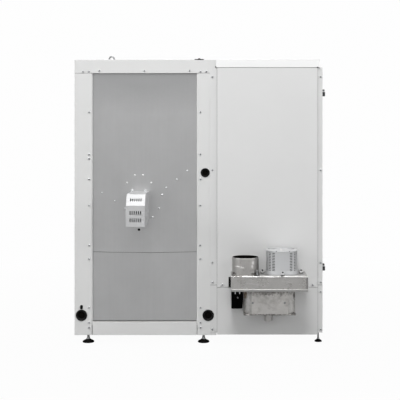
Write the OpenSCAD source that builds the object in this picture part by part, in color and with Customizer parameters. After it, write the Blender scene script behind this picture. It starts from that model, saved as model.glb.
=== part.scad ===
// Pellet boiler with a pellet hopper cabinet beside it.
// The rear of the machine faces -Y. X runs to the right as seen from the rear,
// Z is up, and the origin is on the floor under the middle of the bounding box.
// Modules draw in a local frame: x from the left edge of the casing, y from
// the rear face of the frame posts (positive into the machine), z from the floor.

/* [Casing] */
// Width of the pellet hopper cabinet
hopper_w = 710; // [640:5:900]
// Width of the boiler cabinet
boiler_w = 530; // [500:5:700]
// Depth from the rear posts to the front posts
casing_d = 750; // [620:10:950]
// Height of the casing above its feet
casing_h = 1376; // [1250:1:1600]
// Thickness of the folded sheet steel
sheet = 2; // [1.5:0.5:3]

/* [Hopper frame] */
// Width of the two posts on the outer side of the hopper
post_outer_w = 90; // [80:1:110]
// Width of the two posts beside the boiler
post_inner_w = 99; // [90:1:115]
// Depth of the posts and rails
post_d = 70; // [60:1:90]
// Width of the sloped inner edge of the outer posts
edge_outer_w = 7; // [4:0.5:12]
// Width of the sloped inner edge of the posts beside the boiler
edge_inner_w = 11; // [4:0.5:14]
// Depth of the sloped edges
edge_d = 5; // [3:0.5:7]
// Distance from the post faces back to the panel faces
recess = 12; // [9:1:24]
// Height of the top rails
top_rail_h = 66.5; // [50:0.5:80]
// Height of the bottom rails
bottom_rail_h = 66; // [50:0.5:90]
// Width of the lip that the panels lie against
seat_lip = 25; // [16:1:35]
// Distance from the top rail's end to the boiler cabinet
rail_end_gap = 4; // [2:1:8]

/* [Hopper panels] */
// Depth of the folded edge of a hopper panel
panel_t = 20; // [12:1:26]
// Open joint between the outer post and the rear and front panels
panel_gap = 0.5; // [0.5:0.5:8]
// Open joint over the rear and front panels
panel_gap_top = 0.5; // [0.5:0.5:8]
// Open joint under the rear and front panels
panel_gap_bottom = 5; // [3:0.5:10]
// Seam between the two rear panels above the casing's underside
seam_h = 416; // [300:1:480]
// Step from the upper rear panel back to the lower one
seam_step = 2; // [1:0.5:4]
// Thickness of the base plate
base_t = 4; // [3:0.5:8]

/* [Hopper lid] */
// Thickness of the folded lid
lid_t = 6; // [5:1:20]
// Lid edge to the left edge of the casing
lid_left = 98; // [60:1:130]
// Lid edge to the boiler cabinet
lid_right = 64; // [40:1:100]
// Lid edge to the front and rear faces of the frame
lid_setback = 60; // [40:1:100]
// Diameter of the handle rod
handle_rod = 8; // [6:0.5:10]
// Outer width of the handle arch
handle_w = 32; // [28:1:60]
// Height of the handle above the lid
handle_h = 19; // [17:1:40]
// Handle centre from the left edge of the lid
handle_x = 80; // [30:1:120]
// Width of the latch block
latch_w = 48; // [30:1:70]
// Depth of the latch block
latch_d = 44; // [30:1:60]
// Height of the latch block
latch_h = 6; // [5:1:14]

/* [Auger motor cover] */
// Width of the cover
cover_w = 90; // [80:1:120]
// Distance the cover stands out from the rear posts
cover_out = 250; // [210:1:300]
// Height of the cover
cover_h = 152; // [130:1:190]
// Size of the sloped top front edge
cover_slope = 51; // [30:1:60]
// Sheet thickness of the cover
cover_wall = 1.5; // [1:0.5:3]
// Centre of the cover from the left edge of the casing
cover_x = 325.5; // [260:0.5:400]
// Underside of the cover above the casing's underside
cover_up = 566; // [500:1:650]
// Distance between the two screw tabs on top of the cover
tab_gap = 66; // [50:1:70]
// Distance the tabs sit left of the cover's middle
tab_shift = 5; // [0:1:6]
// Width of a screw tab
tab_w = 14; // [10:1:18]
// Height of a screw tab
tab_h = 12; // [8:1:16]
// Number of slots in a row across the cover
slot_count = 6; // [4:1:7]
// Width of a slot
slot_w = 5; // [3:0.5:6.5]
// Length of a slot
slot_l = 19.5; // [12:0.5:24]
// Distance between slot centres
slot_pitch = 10; // [9:0.5:11.5]
// Middle of the lower slot row above the underside of the cover
slot_row_z = 31.5; // [20:0.5:36]
// Distance between the two slot rows on the front
slot_row_gap = 34.5; // [28:0.5:40]
// Number of slot pairs along each side of the cover
side_slots = 8; // [4:1:10]
// Distance between slots on the sides of the cover
side_pitch = 14; // [10:0.5:15]
// Size of the square gearbox
gearbox_s = 62; // [50:1:70]
// Depth of the gearbox
gearbox_d = 55; // [40:1:80]
// Diameter of the auger motor
motor_dia = 52; // [40:1:60]
// Length of the auger motor
motor_l = 110; // [80:1:130]

/* [Boiler panels] */
// Distance the boiler's front and rear panels stand proud
panel_proud = 12; // [8:1:18]
// Side flange of the left boiler side panel, folded over the post
flange_left = 32.5; // [24:0.5:40]
// Side flange of the right boiler side panel
flange_right = 23; // [18:0.5:32]
// Joint between a boiler panel and what lies beside it
joint_gap = 2; // [1:0.5:4]
// Joint between upper and lower rear panels above the casing's underside
rear_joint_h = 240; // [200:1:300]
// Joint between upper and lower side panels above the casing's underside
side_joint_h = 250; // [200:1:300]
// Distance from the casing's underside up to the front and rear panels
boiler_panel_up = 5; // [1:1:10]
// Distance from the casing's underside up to the side panels and the body
side_panel_up = 13; // [2:1:20]
// Height of the boiler lid
boiler_lid_h = 38; // [24:1:46]
// Joint between the boiler lid and the panels under it
lid_gap = 2; // [1:0.5:6]
// Distance the boiler lid stops short of the right side
lid_short = 14; // [6:1:24]

/* [Flue unit] */
// Left end of the flue duct from the left side of the boiler
duct_x = 71; // [66:1:80]
// Length of the flue duct
duct_w = 370; // [366:1:400]
// Distance the duct stands out from the frame's rear face
duct_out = 185; // [180:1:205]
// Height of the duct box
duct_h = 61; // [52:1:80]
// Underside of the duct flange above the casing's underside
duct_up = 248; // [235:1:300]
// Thickness of the flange under the duct
duct_flange_t = 12; // [6:1:14]
// Distance the flange stands out past the duct
duct_flange_out = 8; // [4:1:12]
// Wall of the duct box
duct_wall = 2; // [1.5:0.5:3]
// Distance the gasket plate shows past each end of the duct
gasket_margin = 11; // [6:1:16]
// Thickness of the gasket plate
gasket_t = 6; // [4:1:10]
// Height of the gasket plate
gasket_h = 50; // [40:1:60]
// Distance the gasket plate reaches below the duct flange
gasket_drop = 5; // [2:1:9]

/* [Flue collar] */
// Outer diameter of the flue collar
collar_dia = 130; // [120:1:134]
// Wall of the flue collar
collar_wall = 2; // [1.5:0.5:3]
// Height of the collar above the duct
collar_h = 84; // [60:1:110]
// Collar axis from the left end of the duct
collar_x = 71; // [68:1:73]

/* [Fan] */
// Diameter of the fan cage
cage_dia = 152; // [140:1:156]
// Height of the fan cage with its cap
cage_h = 117; // [95:1:130]
// Distance the cap stands out past the cage all round
cap_over = 2; // [1:0.5:3]
// Diameter of the skirt at the foot of the cage
skirt_dia = 160; // [158:1:166]
// Height of the skirt
skirt_h = 22; // [12:1:30]
// Sheet thickness of the cage
cage_wall = 1.5; // [1:0.5:2.5]
// Fan axis from the left end of the duct
fan_x = 249; // [246:1:255]
// Width of the fan base plate
fan_plate_w = 216; // [210:1:222]
// Depth of the fan base plate
fan_plate_d = 160; // [158:1:166]
// Thickness of the fan base plate
fan_plate_t = 5; // [4:1:8]
// Height of the cage cap's rim
cap_h = 5; // [4:1:8]
// Diameter of the fan motor inside the cage
fan_motor_dia = 104; // [90:1:120]
// Height of the fan motor
fan_motor_h = 86; // [60:1:86]

/* [Ash collector] */
// Left end of the collector from the left end of the duct
collector_x = 61; // [59:1:66]
// Width of the collector at the boiler
collector_w = 253; // [230:1:270]
// Width of the flat front of the collector
collector_front_w = 176; // [150:1:200]
// Height of the collector
collector_h = 118; // [95:1:130]
// Distance the collector stands out from the frame's rear face
collector_out = 165; // [150:1:175]
// Depth of the sloped sides of the collector
collector_slope = 60; // [40:1:90]
// Thickness of the collector's square bottom plate
collector_base_t = 4; // [2:1:8]
// Size across the flats of the drain socket
drain_af = 43; // [38:1:46]
// Bore of the drain socket
drain_bore = 30.3; // [26:0.1:33]
// Length of the drain socket
drain_l = 41; // [35:1:60]
// Depth of the drain bore
drain_depth = 34; // [20:1:34]
// Drain axis from the left end of the collector
drain_x = 123; // [90:1:160]
// Drain axis from the frame's rear face
drain_y = 88; // [60:1:110]

/* [Junction box and sensor] */
// Width of the junction box
jbox_w = 55; // [45:1:56]
// Height of the junction box
jbox_h = 91; // [70:1:100]
// Depth of the junction box
jbox_d = 72; // [50:1:90]
// Left end of the junction box from the left end of the duct
jbox_x = 2; // [0:1:2]
// Distance from the duct flange down to the junction box
jbox_drop = 10; // [9:1:20]
// Diameter of the flue sensor
sensor_dia = 9; // [6:1:12]
// Height of the flue sensor
sensor_h = 26; // [16:1:40]
// Hexagon of the flue sensor across the flats
sensor_af = 14; // [12:1:17]

/* [Grommets] */
// Diameter of the lower cable grommets
grommet_dia = 57.5; // [50:0.5:62]
// Diameter of the upper cable grommet
grommet_small_dia = 46; // [40:0.5:52]
// Distance a grommet stands out
grommet_out = 4; // [3:0.5:7]
// Width of the grommet's rim round its hole
grommet_rim = 7; // [5:0.5:9]
// Depth of the cable holes behind the grommets
cable_hole_depth = 30; // [20:1:45]
// Fit between a grommet and its hole
grommet_fit = 0.15; // [0.1:0.05:0.3]
// Lower grommets above the casing's underside
grommet_up = 99; // [80:1:110]
// Upper grommet above the casing's underside
grommet_high_up = 812; // [650:1:900]
// Left grommet from the left edge of the casing
grommet_left_x = 35; // [33:1:42]
// Right lower grommet from the boiler cabinet
grommet_right_x = 41.5; // [38:0.5:46]
// Distance between the upper grommet and the side panel's flange
grommet_clear = 1; // [1:0.5:4]
// Width of the slot plug
plug_w = 14; // [10:1:20]
// Height of the slot plug
plug_h = 22; // [16:1:28]
// Distance between the left grommet and the slot plug
plug_clear = 1; // [1:0.5:8]

/* [Feet] */
// Height of the feet
foot_h = 42; // [38:1:60]
// Diameter of the hopper foot pads
pad_dia = 58; // [48:1:66]
// Height of the domed pads
pad_h = 17; // [14:1:24]
// Diameter of the hopper foot studs
stud_dia = 12; // [10:1:16]
// Hopper foot from the side of the hopper
foot_inset = 65; // [40:1:75]
// Hopper foot from the front and rear faces
foot_back = 36; // [33:1:45]
// Diameter of the boiler foot pads
small_pad_dia = 37; // [30:1:44]
// Diameter of the boiler foot studs
small_stud_dia = 9; // [8:1:12]
// Boiler foot from the side of the boiler
small_foot_inset = 17; // [17:1:40]
// Boiler foot from the front and rear faces
small_foot_back = 50; // [30:1:90]

/* [Side clips] */
// Distance the clips stand out from the side
clip_out = 16; // [10:1:22]
// Height of a clip
clip_h = 34; // [26:1:44]
// Depth of a clip
clip_d = 26; // [18:1:40]
// Clips from the rear face
clip_y = 24; // [12:1:60]
// Middle of the lower clip above the casing's underside
clip_low_up = 336; // [300:1:420]
// Middle of the upper clip below the casing's top
clip_high_drop = 164; // [80:1:260]

/* [Hidden] */
$fn = 64;
eps = 0.01;
casing_w = hopper_w + boiler_w;
top_z = foot_h + casing_h;
rear_out = max(cover_out, duct_out + duct_flange_out);
x_left = -(casing_w + clip_out) / 2;
y_rear = (rear_out - casing_d - panel_proud) / 2;
post_top = top_z - top_rail_h;
bottom_rail_top = foot_h + bottom_rail_h;
seat_y = recess + panel_t;
panel_top = post_top - panel_gap_top;
panel_bottom = bottom_rail_top + panel_gap_bottom;
panel_x0 = post_outer_w + panel_gap;
panel_x1 = hopper_w - post_inner_w;
seam_z = foot_h + seam_h;
lid_top = top_z + lid_t;
cover_z = foot_h + cover_up;
slot_rows_z = [slot_row_z, slot_row_z + slot_row_gap];
body_top = top_z - boiler_lid_h;
boiler_panel_top = body_top - lid_gap;
boiler_panel_x0 = hopper_w + sheet + 1;
boiler_panel_x1 = casing_w - flange_right - joint_gap;
side_panel_top = body_top - lid_gap / 2;
side_panel_bottom = foot_h + side_panel_up;
boiler_panel_bottom = foot_h + boiler_panel_up;
rear_joint_z = foot_h + rear_joint_h;
side_joint_z = foot_h + side_joint_h;
duct_z = foot_h + duct_up;
duct_x0 = hopper_w + duct_x;
duct_front = -duct_out;
duct_back = -(panel_proud + gasket_t);
duct_box_z = duct_z + duct_flange_t;
duct_top = duct_box_z + duct_h;
duct_mid = (duct_front + duct_back) / 2;
collar_axis = duct_x0 + collar_x;
fan_axis = duct_x0 + fan_x;
cage_z = duct_top + fan_plate_t;
collector_x0 = duct_x0 + collector_x;
collector_z = duct_z - collector_h;
drain_axis = collector_x0 + drain_x;
jbox_top = duct_z - jbox_drop;
grommet_z = foot_h + grommet_up;
grommet_right = hopper_w - grommet_right_x;
grommet_upper = hopper_w - flange_left - grommet_clear - grommet_small_dia / 2;
grommet_upper_z = foot_h + grommet_high_up;
plug_z = grommet_z + grommet_dia / 2 + plug_clear + plug_h / 2;

// ---- shared helpers ----

// Puts the local frame in place
module placed() translate([x_left, y_rear, 0]) children();

// Mirrors front to back about the middle of the casing
module at_front() translate([0, casing_d, 0]) mirror([0, 1, 0]) children();

// Box from one corner to the opposite one
module span(a, b) translate(a) cube(b - a);

// Cross-section of a post: face, sloped inner edge, panel seat and back
module post_profile(w, edge_w)
    polygon([[0, 0], [w - edge_w, 0], [w, edge_d], [w, seat_y],
             [w + seat_lip, seat_y], [w + seat_lip, post_d], [0, post_d]]);

module post(w, edge_w)
    translate([0, 0, foot_h]) linear_extrude(post_top - foot_h)
        post_profile(w, edge_w);

// Stretch of a rail between the lips of the posts
module between_lips(y0, z0, z1)
    span([post_outer_w + seat_lip, y0, z0], [panel_x1 - seat_lip, post_d, z1]);

// Hexagonal prism, flats facing left and right
module hex(af, h) rotate([0, 0, 30])
    cylinder(d = af / cos(30), h = h, $fn = 6);

// Blind hole for the neck of a cable grommet in a rear face
module cable_hole(x, z, d)
    translate([x, -eps, z]) rotate([-90, 0, 0])
        cylinder(d = d - 2 * grommet_rim, h = cable_hole_depth + eps);

// Sheet steel tray: face, and the fold behind it that gives it its depth
module tray(x0, x1, y0, y1, z0, z1) span([x0, y0, z0], [x1, y1, z1]);

// ---- hopper cabinet ----

module hopper_post_rear_left() color("#dcdddb") placed()
    difference() {
        post(post_outer_w, edge_outer_w);
        cable_hole(grommet_left_x, grommet_z, grommet_dia);
    }

module hopper_post_rear_right() color("#dcdddb") placed()
    difference() {
        translate([hopper_w, 0, 0]) mirror([1, 0, 0])
            post(post_inner_w, edge_inner_w);
        cable_hole(grommet_right, grommet_z, grommet_dia);
        cable_hole(grommet_upper, grommet_upper_z,
                   grommet_small_dia);
    }

module hopper_post_front_left() color("#dcdddb") placed()
    at_front() post(post_outer_w, edge_outer_w);

module hopper_post_front_right() color("#dcdddb") placed()
    at_front() translate([hopper_w, 0, 0]) mirror([1, 0, 0])
        post(post_inner_w, edge_inner_w);

// Top rail: lies over both posts, with its lip behind the panel
module top_rail() {
    span([0, 0, post_top], [hopper_w - rail_end_gap, post_d, top_z]);
    between_lips(seat_y, post_top - seat_lip, post_top);
}

// Bottom rail: stands between the posts, with its lip behind the panel
module bottom_rail() {
    span([post_outer_w, 0, foot_h], [panel_x1, seat_y, bottom_rail_top]);
    between_lips(seat_y, foot_h, bottom_rail_top + seat_lip);
}

module hopper_top_rail_rear() color("#e4e5e3") placed() top_rail();
module hopper_top_rail_front() color("#e4e5e3") placed() at_front() top_rail();
module hopper_bottom_rail_rear() color("#d2d3d1") placed() bottom_rail();
module hopper_bottom_rail_front() color("#d2d3d1") placed()
    at_front() bottom_rail();

module hopper_side_panel() color("#dcdddb") placed()
    tray(0, panel_t, post_d, casing_d - post_d, foot_h, top_z - sheet);

// The upper rear panel laps over the lower one
module hopper_rear_panel_upper() color("#a5a7a8") placed()
    tray(panel_x0, panel_x1, recess, seat_y, seam_z, panel_top);

module hopper_rear_panel_lower() color("#a0a2a3") placed()
    tray(panel_x0, panel_x1, recess + seam_step, seat_y, panel_bottom, seam_z);

module hopper_front_panel() color("#e4e5e3") placed() at_front()
    tray(panel_x0, panel_x1, recess, seat_y, panel_bottom, panel_top);

module hopper_top_plate() color("#e4e5e3") placed()
    span([0, post_d, top_z - sheet],
         [hopper_w - rail_end_gap, casing_d - post_d, top_z]);

module hopper_base_plate() color("#a5a7a8") placed()
    span([panel_t, post_d, foot_h], [hopper_w, casing_d - post_d,
                                     foot_h + base_t]);

module hopper_lid() color("#c9cac9") placed()
    tray(lid_left, hopper_w - lid_right, lid_setback, casing_d - lid_setback,
         top_z, lid_top);

// Arch of round rod standing on the lid near its rear edge
module lid_handle() color("#c4c5c6") placed()
    translate([lid_left + handle_x, lid_setback + 2 * handle_rod, lid_top]) {
        r = (handle_w - handle_rod) / 2;
        leg = handle_h - handle_w / 2;
        translate([0, 0, leg]) rotate([90, 0, 0])
            rotate_extrude(angle = 180) translate([r, 0])
                circle(d = handle_rod);
        for (s = [-1, 1]) translate([s * r, 0, 0])
            cylinder(d = handle_rod, h = leg);
    }

module lid_latch() color("#1c1c1d") placed()
    span([hopper_w - lid_right - latch_w, lid_setback, lid_top],
         [hopper_w - lid_right, lid_setback + latch_d, lid_top + latch_h]);

// ---- auger motor and its cover ----

// Side outline of the cover, y against z, from the panel outwards
module cover_outline(grow, back)
    polygon([[back, grow], [-cover_out + grow, grow],
             [-cover_out + grow, cover_h - cover_slope - grow * tan(22.5)],
             [-cover_out + cover_slope + grow * tan(22.5), cover_h - grow],
             [back, cover_h - grow]]);

module cover_body(grow, back)
    translate([-cover_w / 2 + grow, 0, 0]) rotate([90, 0, 90])
        linear_extrude(cover_w - 2 * grow) cover_outline(grow, back);

// Slot with round ends, long along z, cut along y
module slot(depth)
    rotate([90, 0, 0]) linear_extrude(depth, center = true) {
        square([slot_w, slot_l - slot_w], center = true);
        for (s = [-1, 1]) translate([0, s * (slot_l - slot_w) / 2])
            circle(d = slot_w, $fn = 24);
    }

// One row of slots across the cover
module slot_row(depth)
    for (i = [0 : slot_count - 1])
        translate([(i - (slot_count - 1) / 2) * slot_pitch, 0, 0])
            slot(depth);

module cover_slots() {
    cut = 6 * cover_wall;
    // two rows on the front
    for (z = slot_rows_z) translate([0, -cover_out, z]) slot_row(cut);
    // one row on the sloped edge
    translate([0, -cover_out + cover_slope / 2, cover_h - cover_slope / 2])
        rotate([-45, 0, 0]) slot_row(cut);
    // one row on the top
    translate([0, -cover_out + cover_slope + slot_l, cover_h])
        rotate([90, 0, 0]) slot_row(cut);
    // two rows on each side
    for (z = slot_rows_z, i = [0 : side_slots - 1])
        translate([0, -cover_out + cover_slope + i * side_pitch, z])
            rotate([0, 0, 90]) slot(cover_w + cut);
}

module motor_cover() color("#cfd0d0") placed()
    translate([cover_x, 0, cover_z]) {
        difference() {
            cover_body(0, recess);
            cover_body(cover_wall, recess + eps);
            cover_slots();
        }
        // screw tabs on the panel above the cover
        for (s = [-1, 1])
            translate([s * tab_gap / 2 - tab_shift - tab_w / 2,
                       recess - cover_wall, cover_h - eps])
                cube([tab_w, cover_wall, tab_h]);
    }

module auger_motor() color("#3c3e40") placed()
    translate([cover_x, recess, cover_z + cover_h / 2]) rotate([90, 0, 0]) {
        translate([-gearbox_s / 2, -gearbox_s / 2, 0])
            cube([gearbox_s, gearbox_s, gearbox_d]);
        cylinder(d = motor_dia, h = gearbox_d + motor_l);
    }

// ---- boiler cabinet ----

module boiler_body() color("#5b5d5f") placed()
    span([hopper_w + sheet, 0, side_panel_bottom],
         [casing_w - sheet, casing_d, body_top]);

// Left side panel, folded back over the hopper's inner posts
module left_side_panel(z0, z1)
    translate([hopper_w + sheet, 0, 0]) {
        span([-sheet, -sheet, z0], [0, casing_d + sheet, z1]);
        for (y = [-sheet, casing_d])
            span([-flange_left - sheet, y, z0], [0, y + sheet, z1]);
    }

// Right side panel, folded over the boiler's rear and front
module right_side_panel(z0, z1)
    translate([casing_w, 0, 0]) {
        span([-sheet, -sheet, z0], [0, casing_d + sheet, z1]);
        for (y = [-sheet, casing_d])
            span([-flange_right, y, z0], [0, y + sheet, z1]);
    }

module boiler_side_panel_left_upper() color("#e2e3e1") placed()
    left_side_panel(side_joint_z + joint_gap, side_panel_top);

module boiler_side_panel_left_lower() color("#d8d9d7") placed()
    difference() {
        left_side_panel(side_panel_bottom, side_joint_z);
        // room for the rim of the cable grommet on the post
        translate([grommet_right, sheet / 2, grommet_z])
            rotate([90, 0, 0])
                cylinder(d = grommet_dia + 4 * grommet_fit, h = 3 * sheet);
    }

module boiler_side_panel_right_upper() color("#e2e3e1") placed()
    right_side_panel(side_joint_z + joint_gap, side_panel_top);

module boiler_side_panel_right_lower() color("#d8d9d7") placed()
    right_side_panel(side_panel_bottom, side_joint_z);

module upper_panel()
    tray(boiler_panel_x0, boiler_panel_x1, -panel_proud, 0,
         rear_joint_z + joint_gap, boiler_panel_top);

module lower_panel()
    tray(boiler_panel_x0, boiler_panel_x1, -panel_proud, 0,
         boiler_panel_bottom, rear_joint_z);

module boiler_rear_panel_upper() color("#e6e7e5") placed() upper_panel();
module boiler_rear_panel_lower() color("#d6d7d5") placed() lower_panel();
module boiler_front_panel_upper() color("#e6e7e5") placed()
    at_front() upper_panel();
module boiler_front_panel_lower() color("#d6d7d5") placed()
    at_front() lower_panel();

module boiler_lid() color("#eff0ef") placed()
    tray(hopper_w - rail_end_gap / 2, casing_w - lid_short,
         -panel_proud + sheet, casing_d + panel_proud - sheet,
         body_top, top_z);

// ---- flue unit ----

module flue_gasket() color("#161616") placed()
    span([duct_x0 - gasket_margin, duct_back, duct_z - gasket_drop],
         [duct_x0 + duct_w + gasket_margin, -panel_proud,
          duct_z - gasket_drop + gasket_h]);

// Hollow box that carries the flue gas from the fan to the collar
module flue_duct() color("#b9b8b5") placed()
    difference() {
        span([duct_x0, duct_front, duct_box_z],
             [duct_x0 + duct_w, duct_back, duct_top]);
        span([duct_x0 + duct_wall, duct_front + duct_wall,
              duct_box_z + duct_wall],
             [duct_x0 + duct_w - duct_wall, duct_back - duct_wall,
              duct_top - duct_wall]);
        translate([collar_axis, duct_mid, duct_top - 2 * duct_wall])
            cylinder(d = collar_dia - 2 * collar_wall, h = 3 * duct_wall);
    }

module duct_flange() color("#d5d6d6") placed()
    span([duct_x0, duct_front - duct_flange_out, duct_z],
         [duct_x0 + duct_w, duct_back, duct_box_z]);

// Tube with a low bead under its rim
module flue_collar() color("#8f9091") placed()
    translate([collar_axis, duct_mid, duct_top])
        difference() {
            cylinder(d = collar_dia, h = collar_h, $fn = 96);
            translate([0, 0, -eps])
                cylinder(d = collar_dia - 2 * collar_wall,
                         h = collar_h + 2 * eps, $fn = 96);
        }

module fan_base_plate() color("#b4b5b6") placed()
    span([fan_axis - fan_plate_w / 2, duct_mid - fan_plate_d / 2, duct_top],
         [fan_axis + fan_plate_w / 2, duct_mid + fan_plate_d / 2, cage_z]);

module fan_motor() color("#4a4c4e") placed()
    translate([fan_axis, duct_mid, cage_z])
        cylinder(d = fan_motor_dia, h = fan_motor_h);

// Sheet tube that widens into a skirt at its foot
module fan_cage() color("#b9bcbe") placed()
    translate([fan_axis, duct_mid, cage_z])
        rotate_extrude($fn = 96) {
            r = cage_dia / 2;
            foot_r = skirt_dia / 2;
            h = cage_h - cap_h;
            polygon([[foot_r - cage_wall, 0], [foot_r, 0],
                     [foot_r, 2 * cage_wall], [r, skirt_h], [r, h],
                     [r - cage_wall, h], [r - cage_wall, skirt_h],
                     [foot_r - cage_wall, 2 * cage_wall]]);
        }

// Pressed cap: a turned rim round a low dome
module fan_cap() color("#d9dbdb") placed()
    translate([fan_axis, duct_mid, cage_z + cage_h - cap_h])
        rotate_extrude($fn = 96) {
            r = cage_dia / 2 + cap_over;
            polygon([[0, 0], [r, 0], [r, cap_h * 0.5], [r - 2, cap_h * 0.8],
                     [r - 8, cap_h * 0.6], [r * 0.5, cap_h * 0.9],
                     [0, cap_h]]);
        }

// Box whose sides slope from the boiler to a flat front, on a square plate
module ash_collector() color("#aaa8a4") placed() {
    half_front = collector_front_w / 2;
    mid = collector_w / 2;
    translate([collector_x0, 0, collector_z]) {
        linear_extrude(collector_h)
            polygon([[0, duct_back], [0, -collector_out + collector_slope],
                     [mid - half_front, -collector_out],
                     [mid + half_front, -collector_out],
                     [collector_w, -collector_out + collector_slope],
                     [collector_w, duct_back]]);
        span([0, -collector_out, 0],
             [collector_w, duct_back, collector_base_t]);
    }
}

module drain_socket() color("#9c9a96") placed()
    translate([drain_axis, -drain_y, collector_z - drain_l])
        difference() {
            hex(drain_af, drain_l);
            translate([0, 0, -eps])
                cylinder(d = drain_bore, h = drain_depth + eps);
        }

// ---- junction box, sensor and grommets ----

module junction_box() color("#121212") placed()
    span([duct_x0 + jbox_x, -panel_proud - jbox_d, jbox_top - jbox_h],
         [duct_x0 + jbox_x + jbox_w, -panel_proud, jbox_top]);

module flue_sensor() color("#c8c9ca") placed()
    translate([duct_x0 + collar_x + 56, duct_front + 33, duct_top]) {
        hex(sensor_af, sensor_h * 0.3);
        cylinder(d = sensor_dia, h = sensor_h);
    }

// Rubber grommet with a closed skin: rim outside, neck in the hole
module grommet(x, z, d)
    translate([x, 0, z]) rotate([90, 0, 0]) difference() {
        union() {
            cylinder(d = d, h = grommet_out);
            translate([0, 0, -10])
                cylinder(d = d - 2 * grommet_rim - 2 * grommet_fit, h = 10);
        }
        translate([0, 0, -6])
            cylinder(d = d - 4 * grommet_rim, h = grommet_out + 7);
    }

module cable_grommets() color("#0e0e0e") placed() {
    grommet(grommet_left_x, grommet_z, grommet_dia);
    grommet(grommet_right, grommet_z, grommet_dia);
    grommet(grommet_upper, grommet_upper_z, grommet_small_dia);
}

module slot_plug() color("#0e0e0e") placed()
    translate([grommet_left_x, 0, plug_z]) rotate([90, 0, 0])
        linear_extrude(grommet_out / 2) union() {
            for (s = [-1, 1]) translate([0, s * (plug_h - plug_w) / 2])
                circle(d = plug_w);
            square([plug_w, plug_h - plug_w], center = true);
        }

// ---- feet and side clips ----

// Levelling foot: domed pad, nut and stud up to the casing
module foot(pad, stud, height, top) {
    r = pad / 2;
    rotate_extrude()
        polygon([[0, 0], [r - 2, 0], [r, height * 0.15], [r, height * 0.3],
                 [r * 0.8, height * 0.5], [r * 0.5, height * 0.72],
                 [stud * 0.8, height], [0, height]]);
    translate([0, 0, height - eps]) hex(stud * 1.5, stud * 0.6);
    cylinder(d = stud, h = top);
}

module hopper_feet() color("#141414") placed()
    for (x = [foot_inset, hopper_w - foot_inset],
         y = [foot_back, casing_d - foot_back])
        translate([x, y, 0]) foot(pad_dia, stud_dia, pad_h, foot_h);

module boiler_feet() color("#141414") placed()
    for (y = [small_foot_back, casing_d - small_foot_back])
        translate([casing_w - small_foot_inset, y, 0])
            foot(small_pad_dia, small_stud_dia, pad_h * 0.8,
                 side_panel_bottom);

module side_clips() color("#2b2d2f") placed()
    for (z = [foot_h + clip_low_up, top_z - clip_high_drop])
        translate([casing_w, clip_y, z - clip_h / 2]) {
            cube([clip_out * 0.8, clip_d, clip_h]);
            translate([clip_out * 0.8 - eps, clip_d * 0.15, 0])
                cube([clip_out * 0.2 + eps, clip_d * 0.7, clip_h * 0.6]);
        }

hopper_post_rear_left();
hopper_post_rear_right();
hopper_post_front_left();
hopper_post_front_right();
hopper_top_rail_rear();
hopper_top_rail_front();
hopper_bottom_rail_rear();
hopper_bottom_rail_front();
hopper_side_panel();
hopper_rear_panel_upper();
hopper_rear_panel_lower();
hopper_front_panel();
hopper_top_plate();
hopper_base_plate();
hopper_lid();
lid_handle();
lid_latch();
motor_cover();
auger_motor();
boiler_body();
boiler_side_panel_left_upper();
boiler_side_panel_left_lower();
boiler_side_panel_right_upper();
boiler_side_panel_right_lower();
boiler_rear_panel_upper();
boiler_rear_panel_lower();
boiler_front_panel_upper();
boiler_front_panel_lower();
boiler_lid();
flue_gasket();
flue_duct();
duct_flange();
flue_collar();
fan_base_plate();
fan_motor();
fan_cage();
fan_cap();
ash_collector();
drain_socket();
junction_box();
flue_sensor();
cable_grommets();
slot_plug();
hopper_feet();
boiler_feet();
side_clips();
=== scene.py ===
import math
import bmesh
import bpy
from mathutils import Matrix, Vector


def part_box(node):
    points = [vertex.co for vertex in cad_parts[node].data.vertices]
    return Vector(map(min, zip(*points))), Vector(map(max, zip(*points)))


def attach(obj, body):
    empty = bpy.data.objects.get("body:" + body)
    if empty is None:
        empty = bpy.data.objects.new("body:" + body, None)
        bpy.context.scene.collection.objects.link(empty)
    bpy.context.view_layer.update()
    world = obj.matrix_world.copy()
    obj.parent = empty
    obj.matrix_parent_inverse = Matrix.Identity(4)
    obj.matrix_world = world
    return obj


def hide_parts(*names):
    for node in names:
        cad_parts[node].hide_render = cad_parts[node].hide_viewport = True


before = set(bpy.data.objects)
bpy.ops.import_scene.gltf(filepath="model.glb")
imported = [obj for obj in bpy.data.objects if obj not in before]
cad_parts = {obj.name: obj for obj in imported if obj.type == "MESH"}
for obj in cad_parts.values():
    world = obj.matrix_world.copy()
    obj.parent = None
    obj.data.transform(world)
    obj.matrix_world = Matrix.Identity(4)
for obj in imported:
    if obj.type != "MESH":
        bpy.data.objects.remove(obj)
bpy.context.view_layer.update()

# ---- Camera ----
# A long lens stands level with the upper third of the machine and square to
# its rear, a little right of the middle, so upright edges stay upright.
left_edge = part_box("hopper_post_rear_left")[0][0]
right_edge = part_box("boiler_side_panel_right_upper")[1][0]
rear_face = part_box("hopper_post_rear_left")[0][1]
lens_mm = 90
sensor_mm = 36
camera_far = 5.0
camera_side = 0.1125
camera_height = 1.0895
aim_height = 0.7175
side_shift = -0.0525


def place(x, y, z):
    """Point in metres from millimetres: x from the casing's left edge,
    y from the rear face inwards, z from the floor."""
    return Vector((left_edge + x / 1000, rear_face + y / 1000, z / 1000))


def linked(name, data):
    """Object of a mesh, curve, camera or lamp, in the scene."""
    obj = bpy.data.objects.new(name, data)
    bpy.context.scene.collection.objects.link(obj)
    return obj


camera_data = bpy.data.cameras.new("rear_camera")
camera_data.lens = lens_mm
camera_data.sensor_width = sensor_mm
camera_data.clip_end = 60
camera_data.shift_x = side_shift
camera_data.shift_y = -(camera_height - aim_height) / camera_far * lens_mm / sensor_mm
camera = linked("rear_camera", camera_data)
camera.location = ((left_edge + right_edge) / 2 + camera_side, rear_face - camera_far, camera_height)
camera.rotation_euler = (math.radians(90), 0, 0)
bpy.context.scene.camera = camera

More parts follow.
